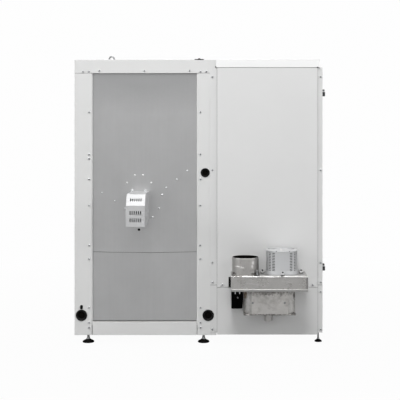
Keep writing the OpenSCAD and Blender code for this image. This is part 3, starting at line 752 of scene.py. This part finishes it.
# The flue collar: a rolled tube, welded to the duct, its rim eased inwards to
# lead the flue pipe; black with soot inside.
collar_foot, r, h = upright("flue_collar")
# The collar's marks: the pale patches are painted highlights, some also read as scratches; the dark patch on
# the right flank is painted shade; the two dark patches at the foot are soot and painted shade.
collar_steel = stainless("collar_steel", collar_colour, gloss=(0.44, 0.56), stretch=(260.0, 260.0, 14.0),
                         size=0.035, cover=0.5, drift=0.08, metallic=0.8, marks=(
    (817, -158, 407, 16, 30, 3.8, painted_highlight, 0.8), (834, -158, 402, 14, 30, 3.8, painted_highlight, 0.6),
    (888, -150, 424, 6, 30, 13, painted_highlight, 0.42), (884, -152, 408, 6, 30, 10, painted_highlight, 0.42),
    (914, -102, 410, 8, 34, 40, soot, 0.6), (796, -120, 371, 14, 60, 8, soot, 0.8),
    (893, -120, 371, 24, 60, 9, soot, 0.8)))
soot_black = black_moulded("soot_black", (0.004, 0.0035, 0.003, 1), (0.8, 0.9))
weld_steel = stainless("weld_steel", weld_colour, gloss=(0.3, 0.5), amount=0.9, cover=0.7, size=0.012)
tube = [(r - 2.0, 0), (r, 0), (r, h - 6), (r - 0.5, h - 2), (r - 1.4, h - 0.3), (r - 2.0, h),
        (r - 2.6, h - 0.4), (r - 2.0, h - 6)]
keep(turned("flue_collar_tube", tube, collar_steel, collar_foot, segments=96, ring=True),
     "stainless", "flue_collar")
liner = [(r - 3.4, 0), (r - 1.9, 0), (r - 1.9, h - 6), (r - 2.5, h - 0.3), (r - 3.4, h - 0.6)]
keep(turned("collar_soot", liner, soot_black, collar_foot, segments=96, ring=True), "black_rubber")

# Weld: a rippled bead round the foot of the collar
bead_steps = 180
bead_sides = 8
bead = bmesh.new()
rings = []
for step in range(bead_steps):
    angle = math.tau * step / bead_steps
    thick = 2.6 + 0.8 * math.sin(step * 2.1) + 0.6 * math.sin(step * 0.37)
    ring = []
    for side in range(bead_sides):
        turn = math.tau * side / bead_sides
        out = r + thick * math.cos(turn)
        ring.append(bead.verts.new(collar_foot + Vector((
            out * math.cos(angle), out * math.sin(angle), thick * math.sin(turn))) / 1000))
    rings.append(ring)
for ring, after in zip(rings, rings[1:] + rings[:1]):
    for k in range(bead_sides):
        up = (k + 1) % bead_sides
        bead.faces.new((ring[k], after[k], after[up], ring[up]))
bmesh.ops.recalc_face_normals(bead, faces=bead.faces)
keep(formed("collar_weld", bead, weld_steel), "stainless")

# ---- Exhaust fan ----
# The fan's motor stands on a steel plate on the duct, under a cage rolled from
# thin sheet with punched slots in columns, closed by a pressed cap.
cage_colour = (0.480, 0.486, 0.494, 1)
plate_colour = (0.560, 0.556, 0.548, 1)
cap_colour = (0.72, 0.725, 0.735, 1)
dull = (0.14, 0.14, 0.14, 1)
slot_length = 16.0
slot_height = 2.9
punch_deep = 0.012
slot_rows = 12
slot_pitch = 7.6
first_slot = 19.5
slot_angles = (-73.0, -53.5, -35.0, 33.5, 54.0, 73.5, 107.0, 126.5, 145.0, 213.0, 232.5, 252.0)
cage_segments = 144
plate_steel = stainless("plate_steel", plate_colour, gloss=(0.28, 0.42), amount=0.3, size=0.03)
folded("fan_base_plate", plate_steel, "stainless", radius=0.0012)
foot, r, h = upright("fan_motor")
profile = [(0, 0), (r, 0), (r, 6), (r - 5, 9), (r - 5, h * 0.45), (r - 9, h * 0.5), (r - 9, h * 0.86),
           (r - 14, h * 0.95), (14, h * 0.97), (12, h), (0, h)]
keep(turned("fan_motor_can", profile, motor_casting, foot, segments=64), "motor_black", "fan_motor")

cage_foot, skirt_r, cage_h = upright("fan_cage")
cap_foot, cap_r, cap_h = upright("fan_cap")
cage_foot.xy = cap_foot.xy = foot.xy
cage_r = cap_r - 2.0
wall = 1.5
inner = cage_r - wall


def grown(name, tree, values, base=None):
    """Plain mesh of what a geometry tree makes, with its named inputs set."""
    seed = linked(name + "_seed", base or bpy.data.meshes.new(name + "_seed"))
    step = seed.modifiers.new("grow", "NODES")
    step.node_group = tree
    for item in tree.interface.items_tree:
        if item.in_out == "INPUT" and item.name in values:
            step[item.identifier] = values[item.name]
    return settled(name, seed)


def geometry_tree(name, **inputs):
    """Geometry tree with inputs of given names and kinds; gives the tree and its inputs."""
    tree = bpy.data.node_groups.new(name, "GeometryNodeTree")
    for label, kind in {"Geometry": "Geometry", **inputs, "Finish": "Material"}.items():
        add_socket(tree, label, "INPUT", kind)
    add_socket(tree, "Geometry", "OUTPUT", "Geometry")
    return tree, tree.nodes.new("NodeGroupInput").outputs


def realised(tree, given, shape):
    """Closes a geometry tree: real geometry in the piece's finish."""
    solid = put(tree, "GeometryNodeRealizeInstances", {"Geometry": shape})
    paint = put(tree, "GeometryNodeSetMaterial", {"Geometry": solid, "Material": given["Finish"]})
    put(tree, "NodeGroupOutput", {0: paint})
    return tree


# Slotted wall: takes punches, stood in rows up each column, out of a plain wall
tree, given = geometry_tree("punched_wall", Punch="Object", Rows="Int", Pitch="Float", First="Float")
punch = put(tree, "GeometryNodeObjectInfo", {"Object": given["Punch"]}, transform_space="ORIGINAL")
rise = put(tree, "ShaderNodeCombineXYZ", {"Z": given["Pitch"]})
start = put(tree, "ShaderNodeCombineXYZ", {"Z": given["First"]})
rows = put(tree, "GeometryNodeMeshLine", {"Count": given["Rows"], "Start Location": start, "Offset": rise},
           mode="OFFSET")
stack = put(tree, "GeometryNodeInstanceOnPoints", {"Points": rows, "Instance": punch.outputs["Geometry"]})
solid = put(tree, "GeometryNodeRealizeInstances", {"Geometry": stack})
cut = put(tree, "GeometryNodeMeshBoolean", {"Mesh 1": given["Geometry"], "Mesh 2": solid},
          operation="DIFFERENCE", solver="EXACT")
punched_wall = realised(tree, given, cut)

drum = [(0, 1), (cage_r - 9, 1), (cage_r - 9, cage_h - 1), (0, cage_h - 1)]
keep(turned("fan_drum", drum, soot_black, cage_foot, segments=64), "motor_black")
cage_zinc = galvanised("cage_zinc", cage_colour, 0.003, 0.015, 0.25)
tube = [(skirt_r - wall, 0), (skirt_r, 0), (skirt_r, 3.0), (cage_r + 1.2, 16.0), (cage_r, 21.0),
        (cage_r, cage_h), (inner, cage_h), (inner, 21.0), (inner + 0.9, 16.0), (skirt_r - wall, 3.0)]
plain_tube = turned("cage_tube", tube, cage_zinc, cage_foot, segments=cage_segments, ring=True)
punch = bmesh.new()
to_cage = Matrix.Translation((cage_foot.x, cage_foot.y, 0))
for angle in slot_angles:
    block = add_block(punch, (punch_deep, slot_length / 1000, slot_height / 1000), (cage_r / 1000, 0, 0))
    turn = Matrix.Rotation(math.radians(angle - 90), 4, "Z")
    bmesh.ops.transform(punch, matrix=to_cage @ turn, verts=block)
punch = formed("slot_punch", punch, None, smooth=False)
cage = grown("fan_cage_wall", punched_wall,
             {"Punch": punch, "Rows": slot_rows, "Pitch": slot_pitch / 1000,
              "First": cage_foot.z + first_slot / 1000, "Finish": cage_zinc}, plain_tube.data)
for tool in (punch, plain_tube):
    bpy.data.objects.remove(tool)
keep(cage, "cage_steel", "fan_cage")

# The cap: a rim turned down over the cage, and a low dome pressed in lobes
lobe = 0.0016
lobe_from, lobe_to = 0.2, 0.9
profile = [(0, 0.2), (inner - 1, 0.2), (inner - 1, 0), (cap_r, 0), (cap_r, cap_h * 0.5),
           (cap_r - 1.5, cap_h * 0.8), (cap_r - 6, cap_h * 0.72), (cap_r - 10, cap_h * 0.42),
           (cap_r * 0.78, cap_h * 0.42), (cap_r * 0.5, cap_h * 0.8), (cap_r * 0.34, cap_h * 0.88),
           (cap_r * 0.26, cap_h * 0.66), (16, cap_h * 0.66), (13, cap_h * 0.98), (0, cap_h)]
x, y, z = (cap_foot - place(0, 0, 0)) * 1000
z += cap_h
# The cap's dark marks over its side lobes and on its rim are painted shade, and its pale streak is a painted
# highlight.
cap_steel = stainless("cap_steel", cap_colour, (0.30, 0.40), amount=0.15, drift=0.02, metallic=0.6, marks=(
    (x - 46, y + 28, z, 28, 15, 20, dull, 1.0), (x + 48, y + 28, z, 22, 15, 20, dull, 1.0),
    (x - 5, y - 20, z, 7, 50, 20, painted_highlight, 1.0), (x - 30, y - 74, z - 3, 4, 20, 4, dull, 1.0),
    (x + 34, y - 74, z - 3, 4, 20, 4, dull, 1.0)))
cap = turned("fan_cap_disc", profile, cap_steel, cap_foot, segments=96)
for vert in cap.data.vertices:
    out = vert.co - cap_foot
    reach = math.hypot(out.x, out.y) * 1000 / cap_r
    if lobe_from < reach < lobe_to and out.z > 0.001:
        swell = math.sin((reach - lobe_from) / (lobe_to - lobe_from) * math.pi)
        vert.co.z += lobe * math.cos(2 * math.atan2(out.x, out.y)) * swell
keep(cap, "cage_steel", "fan_cap")

# ---- Ash collector and drain ----
# Under the duct hangs a welded stainless collector with sloped sides on a square
# plate; a hexagon socket in its floor drains the condensate.
brown = (0.16, 0.11, 0.07, 1)
scorch_and_shade = (0.06, 0.055, 0.05, 1)
collector_colour = (0.565, 0.552, 0.534, 1)
drain_colour = (0.43, 0.42, 0.41, 1)
bore_r = 15.15
bore_deep = 34.0
# The collector's pale patches on the sloped sides are painted highlights; the dark marks along the outer
# edges, at the bottom corners and bottom edge, and the band under the flange are painted shade, partly
# scorching; the brown patch is a stain.
collector_steel = stainless("collector_steel", collector_colour, (0.30, 0.46), stretch=(40.0, 40.0, 500.0),
                            size=0.045, cover=0.55, amount=0.45, drift=0.10, marks=(
    (864, -135, 228, 13, 60, 45, painted_highlight, 0.55), (1070, -135, 215, 12, 60, 45, painted_highlight, 0.35),
    (845, -130, 222, 9, 60, 70, scorch_and_shade, 0.5), (1093, -130, 222, 8, 60, 70, scorch_and_shade, 0.45),
    (851, -115, 266, 11, 60, 25, brown, 0.9), (848, -140, 172, 16, 60, 9, scorch_and_shade, 1.0),
    (1086, -140, 173, 18, 60, 9, scorch_and_shade, 1.0), (1091, -115, 264, 9, 60, 28, scorch_and_shade, 0.9),
    (968, -140, 173, 180, 60, 6, scorch_and_shade, 0.9), (968, -140, 287, 160, 60, 22, scorch_and_shade, 0.75)))
drain_steel = stainless("drain_steel", drain_colour, gloss=(0.35, 0.5), amount=0.3, size=0.02)
folded("ash_collector", collector_steel, "stainless", radius=0.0014, segments=3, shortest=0.002)
foot, r, h = upright("drain_socket")
profile = [(0, h), (r, h), (r, 2.0), (r - 1.6, 0.0), (bore_r + 1.0, 0.0), (bore_r, 1.2), (bore_r, bore_deep),
           (0, bore_deep)]
keep(turned("drain_socket_hex", profile, drain_steel, foot, six=(1, 2, 3)), "stainless", "drain_socket")

# ---- Junction box and sensor ----
# A moulded black junction box whose lid is held by one screw under two pale
# pegs, and a small turned sensor screwed into the duct beside the collar.
box_lid_share = 0.30
peg_at, peg_apart, peg_half = 813.5, 10.8, 2.2
low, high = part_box("junction_box")
split = low.y + (high.y - low.y) * box_lid_share
base = moulded_block("box_base", (low.x + 0.0008, split + 0.0005, low.z + 0.0008),
                     (high.x - 0.0008, high.y, high.z - 0.0008), black_plastic, 0.002)
cover = moulded_block("box_cover", low, (high.x, split, high.z), black_plastic, 0.003)
neck = moulded_block("box_neck", (low.x + 0.003, split - 0.002, low.z + 0.003),
                     (high.x - 0.003, split + 0.003, high.z - 0.003), black_plastic, 0.001, 1)
keep(joined("junction_box_case", base, cover, neck), "black_plastic", "junction_box")
pegs = [moulded_block("box_peg_%d" % side, place(peg_at + side * peg_apart - peg_half, -86, 261),
                      place(peg_at + side * peg_apart + peg_half, -83, 277), bright_zinc, 0.0006)
        for side in (-1, 1)]
keep(joined("junction_box_pegs", *pegs), "stainless")

foot, r, h = upright("flue_sensor")
profile = [(0, 0), (r, 0), (r, h * 0.28), (r - 0.8, h * 0.31), (3.2, h * 0.31), (3.2, h * 0.40),
           (4.5, h * 0.42), (4.5, h * 0.96), (3.8, h), (0, h)]
keep(turned("flue_sensor_body", profile, dark_zinc, foot, segments=36, six=(1, 2, 3)),
     "stainless", "flue_sensor")

# ---- Cable grommets and slot plug ----
# Moulded black grommets close the cable holes of the rear posts: a rim, a
# shallow cone and a closed skin; a flat plug closes the slot over the left one.
grommet_rim_share = 0.24
small_r = 23.0
low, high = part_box("cable_grommets")
out = (rear_face - low.y) * 1000
plug_low, plug_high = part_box("slot_plug")
big_r = (plug_low.z - 0.001 - low.z) * 500
low_row = low.z + big_r / 1000
grommet_rubber = black_moulded("grommet_rubber", (0.004, 0.004, 0.004, 1), (0.35, 0.45), shine=0.22)
grommets = []
skins = []
for name, x, z, r in (
        ("grommet_left", (plug_low.x + plug_high.x) / 2, low_row, big_r),
        ("grommet_right", high.x - big_r / 1000, low_row, big_r),
        ("grommet_upper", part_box("boiler_side_panel_left_upper")[0].x - 0.001 - small_r / 1000,
         high.z - small_r / 1000, small_r)):
    rim = r * (1 - grommet_rim_share)
    profile = [(0, -9.5), (r - 7.3, -9.5), (r - 7.3, 0.0), (r - 0.4, 0.0), (r, 0.6), (r - 0.6, out - 1.2),
               (r - 2.2, out), (rim + 0.8, out), (rim - 0.6, out - 1.4), (r * 0.58, -4.2), (0, -4.2)]
    skin = [(0, -4.4), (r * 0.56, -4.4), (r * 0.56, -3.6), (r * 0.50, -2.8), (r * 0.16, -3.2), (0, -3.4)]
    grommets.append(turned(name, profile, grommet_rubber, (x, rear_face, z), (0, -1, 0), segments=64))
    skins.append(turned(name + "_skin", skin, soot_black, (x, rear_face, z), (0, -1, 0)))
keep(joined("cable_grommet_set", *grommets), "black_rubber", "cable_grommets")
keep(joined("grommet_skins", *skins), "black_rubber")
folded("slot_plug", black_rubber, "black_rubber", radius=0.0006, shortest=0.0001)

# ---- Levelling feet ----
# Each foot is a black moulded pad that swivels on the cone of a zinc plated
# threaded stud; turning the stud sets the height.
thread_depth = 0.7
thread_pitch = 1.75
hopper_pad = 58.0

# Thread: a helical ridge round a core
tree, given = geometry_tree("stud_thread", Radius="Float", Height="Float", Pitch="Float", Depth="Float")
helix = put(tree, "GeometryNodeCurveSpiral", {
    "Resolution": 20, "Rotations": math_node(tree, "DIVIDE", given["Height"], given["Pitch"]),
    "Start Radius": given["Radius"], "End Radius": given["Radius"], "Height": given["Height"]})
ridge = put(tree, "GeometryNodeCurvePrimitiveCircle", {"Resolution": 4, "Radius": given["Depth"]},
            mode="RADIUS")
swept = put(tree, "GeometryNodeCurveToMesh", {"Curve": helix, "Profile Curve": ridge, "Fill Caps": True})
core = put(tree, "GeometryNodeMeshCylinder", {"Vertices": 20, "Side Segments": 1, "Radius": given["Radius"],
                                              "Depth": given["Height"]}, fill_type="NGON")
lift = put(tree, "ShaderNodeCombineXYZ", {"Z": math_node(tree, "MULTIPLY", given["Height"], 0.5)})
core = put(tree, "GeometryNodeTransform", {"Geometry": core, "Translation": lift})
both = put(tree, "GeometryNodeJoinGeometry")
for part in (core, swept):
    tree.links.new(part.outputs[0], both.inputs[0])
stud_thread = realised(tree, given, both)


def levelling_feet(name, pad, stud, tall):
    """Feet in the rows of a node's box: pad, swivel and threaded stud of each, sizes in mm."""
    low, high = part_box(name)
    r = pad / 2
    top = high.z * 1000
    rows = [low.x + r / 1000, high.x - r / 1000] if high.x - low.x > pad / 500 else [(low.x + high.x) / 2]
    pieces = []
    for i, x in enumerate(rows):
        for j, y in enumerate((low.y + r / 1000, high.y - r / 1000)):
            foot = "%s_%d%d" % (name, i, j)
            cone = [(0, 0.6), (r - 6, 0.6), (r - 5, 0), (r - 1, 0), (r, 1.2), (r, tall * 0.26),
                    (r - 1.2, tall * 0.38), (r * 0.82, tall * 0.54), (r * 0.62, tall * 0.72),
                    (r * 0.46, tall * 0.88), (r * 0.38, tall), (0, tall)]
            swivel = [(0, tall - 1), (r * 0.34, tall - 1), (r * 0.31, tall + 1),
                      (stud * 0.62, tall + stud * 0.7), (stud * 0.56, tall + stud * 0.95),
                      (0, tall + stud * 0.95)]
            stem = grown(foot + "_stud", stud_thread, {
                "Radius": (stud / 2 - thread_depth) / 1000, "Height": (top - tall - 1.0) / 1000,
                "Pitch": thread_pitch / 1000, "Depth": thread_depth / 1000, "Finish": dark_zinc})
            stem.data.transform(Matrix.Translation((x, y, tall / 1000)))
            pieces += [turned(foot, cone, black_plastic, (x, y, 0)),
                       turned(foot + "_swivel", swivel, dark_zinc, (x, y, 0), segments=32), stem]
    return pieces


low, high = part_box("boiler_feet")
keep(joined("hopper_foot_set", *levelling_feet("hopper_feet", hopper_pad, 12.0, 17.0)),
     "black_rubber", "hopper_feet")
keep(joined("boiler_foot_set", *levelling_feet("boiler_feet", (high.x - low.x) * 1000, 9.0, 13.6)),
     "black_rubber", "boiler_feet")

# ---- Side clips ----
# Two dark spring clips on the right side hold the side panel to the body,
# each with a bright zinc plated band.
band_wide, band_high = 0.0136, 0.0065
clip_dark = cast_metal("clip_dark", (0.045, 0.046, 0.048, 1), gloss=(0.35, 0.5), metallic=0.5)
folded("side_clips", clip_dark, "motor_black", radius=0.0020, segments=3)
low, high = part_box("side_clips")
bands = [moulded_block("clip_band_%d" % up, (low.x, low.y - 0.0006, z),
                       (low.x + band_wide, high.y + 0.0006, z + band_high), bright_zinc, 0.0008)
         for up, z in enumerate((low.z + 0.0205, high.z - 0.0135))]
keep(joined("clip_bands", *bands), "stainless")

# ---- Screws and rivets ----
# Domed socket screws hold the rails and panels; pop rivets hold the brackets
# behind the hopper wall; studs and nuts hold the fan plate, and two screws the
# tabs of the motor's cover.
fastener_seed = 7

# Fasteners: a head stood on every point, square to its face and turned at random
tree, given = geometry_tree("set_fasteners", Head="Object", Seed="Int")
head = put(tree, "GeometryNodeObjectInfo", {"Object": given["Head"]}, transform_space="ORIGINAL")
facing = put(tree, "GeometryNodeInputNamedAttribute", {"Name": "facing"}, data_type="FLOAT_VECTOR")
square = put(tree, "FunctionNodeAlignRotationToVector", {"Vector": facing}, axis="Z")
spin = put(tree, "FunctionNodeRandomValue", {2: 0.0, 3: math.tau, "Seed": given["Seed"]}, data_type="FLOAT")
about = put(tree, "FunctionNodeAxisAngleToRotation", {"Axis": (0, 0, 1), "Angle": spin.outputs[1]})
pose = put(tree, "FunctionNodeRotateRotation", {"Rotation": square, "Rotate By": about},
           rotation_space="LOCAL")
set_fasteners = realised(tree, given, put(tree, "GeometryNodeInstanceOnPoints", {
    "Points": given["Geometry"], "Instance": head.outputs["Geometry"], "Rotation": pose}))


def fasteners(name, head, spots, finish):
    """A head on each of the spots, in one finish."""
    mesh = bpy.data.meshes.new(name)
    mesh.from_pydata([place(*spot[:3]) for spot in spots], [], [])
    facing = mesh.attributes.new("facing", "FLOAT_VECTOR", "POINT")
    for item, spot in zip(facing.data, spots):
        item.vector = spot[3]
    return grown(name, set_fasteners, {"Head": head, "Seed": fastener_seed, "Finish": finish}, mesh)


rivet_alloy = cast_metal("rivet_alloy", (0.72, 0.72, 0.72, 1), gloss=(0.30, 0.42), metallic=0.5)
nut_steel = cast_metal("nut_steel", (0.74, 0.74, 0.74, 1), gloss=(0.30, 0.42), metallic=0.35)
stud_steel = cast_metal("stud_steel", (0.06, 0.06, 0.06, 1), gloss=(0.35, 0.50), metallic=0.5)

# Heads: the profile of each, its segments and its hexagon rings
screw = ([(0, -0.2), (6.0, -0.2), (6.0, 0.7), (5.5, 2.2), (4.6, 3.4), (3.6, 4.0), (3.0, 4.0), (2.7, 1.2),
          (0, 1.2)], 24, (6, 7))
# A black disc sunk in each screw head's socket is painted shade.
hole = ([(0, 1.0), (2.5, 1.0), (2.4, 2.2), (0, 2.2)], 18, ())
rivet = ([(0, -0.2), (4.8, -0.2), (4.8, 0.6), (4.2, 2.4), (3.0, 3.6), (1.4, 4.0), (1.2, 2.6), (0, 2.6)],
         18, ())
plug = ([(0, -0.2), (5.6, -0.2), (5.6, 2.6), (4.8, 3.4), (0, 3.4)], 24, (1, 2, 3))
# The black washer under each flue nut is a sealing washer and also painted shadow at the nut's foot.
washer = ([(0, -0.1), (11.5, -0.1), (11.5, 1.4), (10.5, 2.1), (0, 2.1)], 24, ())
nut = ([(0, 2.0), (7.0, 2.0), (7.0, 8.6), (6.2, 9.4), (0, 9.4)], 24, (1, 2, 3))
stud = ([(0, 9.0), (3.8, 9.0), (3.8, 16.4), (3.2, 17.0), (0, 17.0)], 24, ())

# Spots: each is x, y and z in mm as in place(), and the way it faces; the front
# repeats the screws of the rear
rear = (0, -1, 0)
plate_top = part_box("fan_base_plate")[1].z * 1000
casing_deep = (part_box("hopper_post_front_left")[1].y - rear_face) * 1000
screws = [(x, 0, z, rear) for x in (73, 629.5) for z in (1157, 946, 822, 690, 491, 423, 179, 105, 80)]
screws += [(73, 0, 924, rear)] + [(x, 0, 1364, rear) for x in (124.5, 349.5, 576)]
screws += [(x, 0, 1359.5, rear) for x in (42, 72, 629.5, 659.5)]
screws += [(689.5, -2, z, rear) for z in (1333, 868, 404.5, 307.5, 72.5)]
screws += [(1231, -2, z, rear) for z in (1333, 867, 404, 308, 259, 71)]
screws += [(x, -12, 295, rear) for x in (738, 1189.5)]
front_screws = [(x, casing_deep - y, z, (0, 1, 0)) for x, y, z, _ in screws if y > -12]
tab_screws = [(x, 10.5, 764, rear) for x in (287.5, 352.5)]
bracket_spots = [(x, wall_y, z, rear) for x, z in ((301, 841), (342, 841), (262, 802.5), (383, 803.5))]
wall_spots = [(x, wall_y, z, rear) for x, z in (
    (563, 863), (511, 819), (458, 777), (438, 743), (422, 676), (390, 630.5), (136, 753), (200, 711),
    (252, 674.5))]
nuts = [(x, y, plate_top, (0, 0, 1)) for x, y in ((935, -104), (1125, -104), (1030, -180))]
plugs = [(x, -165, 232.5, rear) for x in (886, 1041)]
for name, (profile, segments, six), spots, finish, slot in (
        ("rear_screws", screw, screws + tab_screws, bright_zinc, "stainless"),
        ("box_screw", rivet, [(815, -84, 243.5, rear)], dark_zinc, "stainless"),
        ("rear_screw_holes", hole, screws, black_rubber, "black_rubber"),
        ("front_screws", screw, front_screws, bright_zinc, "stainless"),
        ("front_screw_holes", hole, front_screws, black_rubber, "black_rubber"),
        ("bracket_rivets", rivet, bracket_spots, rivet_alloy, "stainless"),
        ("wall_rivets", rivet, wall_spots, bright_zinc, "stainless"),
        ("collector_plugs", plug, plugs, dark_zinc, "stainless"),
        ("flue_washers", washer, nuts, black_rubber, "black_rubber"),
        ("flue_nuts", nut, nuts, nut_steel, "stainless"),
        ("flue_studs", stud, nuts, stud_steel, "stainless")):
    head = turned(name + "_head", profile, finish, segments=segments, six=six)
    keep(fasteners(name, head, spots, finish), slot)
    bpy.data.objects.remove(head)
